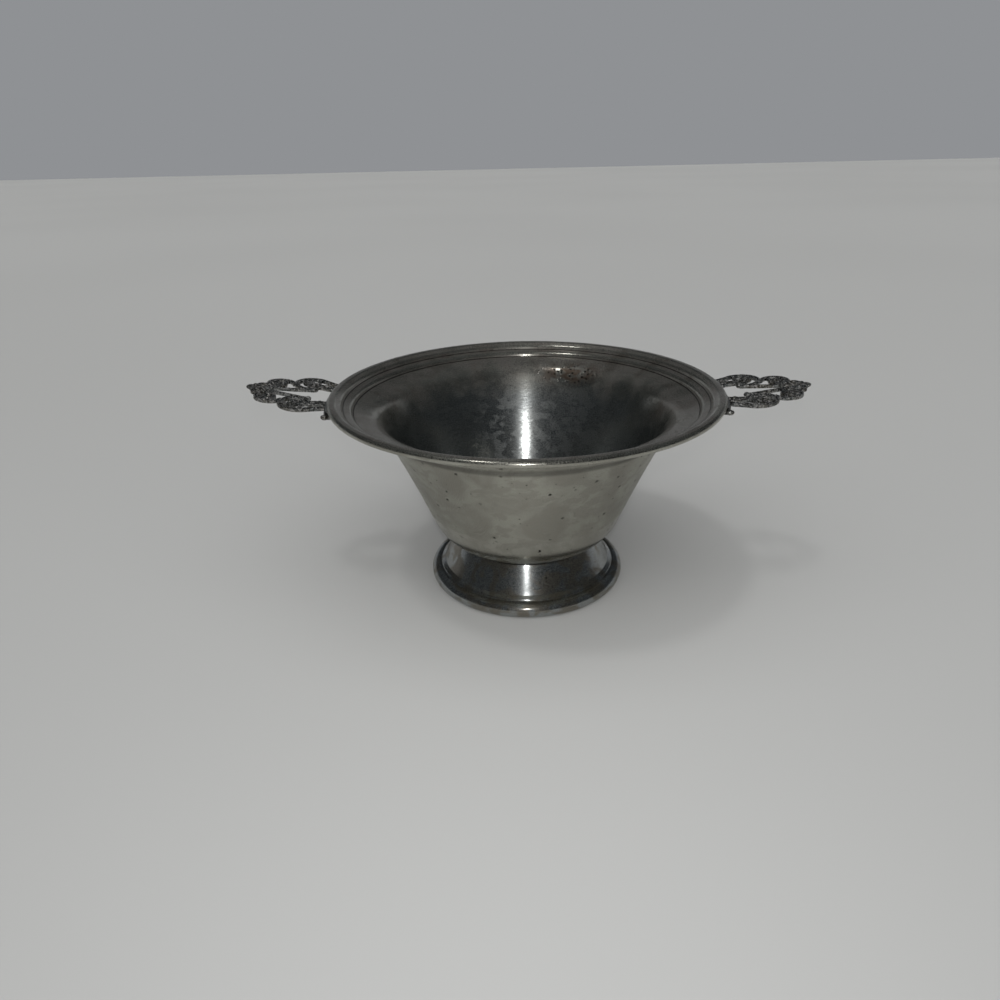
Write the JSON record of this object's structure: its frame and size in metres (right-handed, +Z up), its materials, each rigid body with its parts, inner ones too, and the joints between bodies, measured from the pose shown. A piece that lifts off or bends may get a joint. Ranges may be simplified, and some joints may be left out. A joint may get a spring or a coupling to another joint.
{
  "type": "footed porringer",
  "caption": "Footed pewter porringer: a deep flared bowl with a stepped flange and rolled lip on a low conical foot, with two cast openwork scroll ears under the rim.",
  "frame": {"origin": "centre of the foot's base, on the surface that it stands on", "axes": "+Z up through the middle of the bowl, +X through the middle of the right ear, +Y to the back"},
  "size_m": [0.2169, 0.15, 0.0826],
  "materials": {
    "spun_pewter": "aged spun pewter, dull grey with fine turning lines and dark spots",
    "foot_pewter": "aged spun pewter, smoother and darker",
    "cast_pewter": "aged cast pewter, dark in the recesses and worn bright on the bands",
    "solder": "soft solder, dull"
  },
  "bodies": {
    "root": {"bowl": "spun_pewter", "foot": "foot_pewter", "foot_solder_ring": "solder", "handle_left": "cast_pewter", "handle_right": "cast_pewter", "handle_solder_left": "solder", "handle_solder_right": "solder"}
  },
  "joints": []
}
